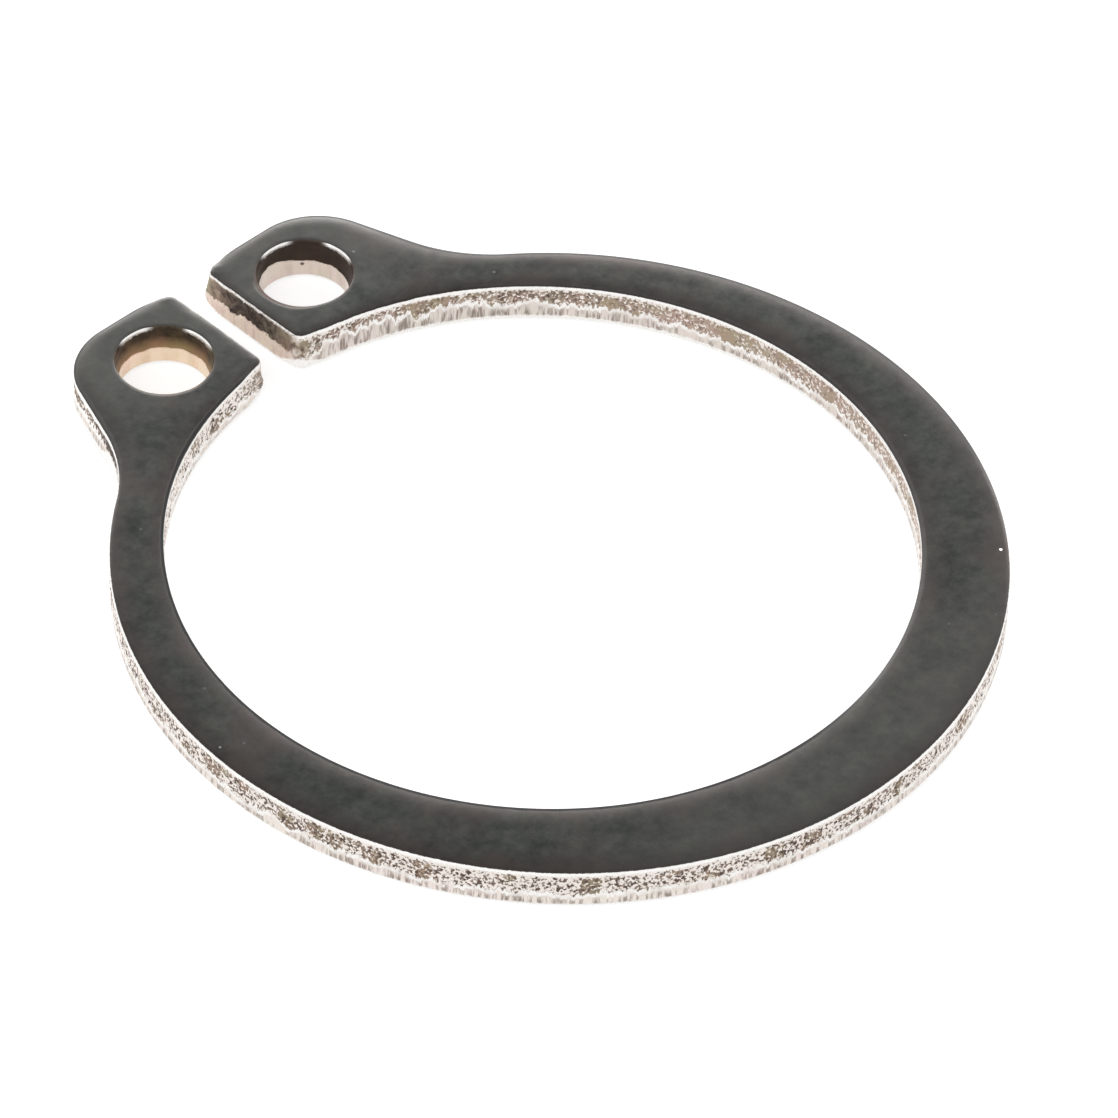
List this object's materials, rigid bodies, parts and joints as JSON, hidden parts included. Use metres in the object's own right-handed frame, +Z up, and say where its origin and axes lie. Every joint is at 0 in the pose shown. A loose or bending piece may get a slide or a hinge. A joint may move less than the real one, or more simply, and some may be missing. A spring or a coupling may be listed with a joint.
{
  "type": "external retaining ring",
  "caption": "Flat open spring-steel ring with a tapered band and two lugs with plier holes, that snaps into a groove round a shaft.",
  "frame": {"origin": "on the axis of the free bore, in the plane of the lower face that the ring lies on", "axes": "+Z up along the bore axis, towards the fractured side; +Y through the middle of the gap between the lugs; +X to the right lug"},
  "size_m": [0.022, 0.0246, 0.0012],
  "materials": {
    "phosphated_steel": "satin"
  },
  "bodies": {
    "root": {"retaining_ring": "phosphated_steel"}
  },
  "joints": []
}
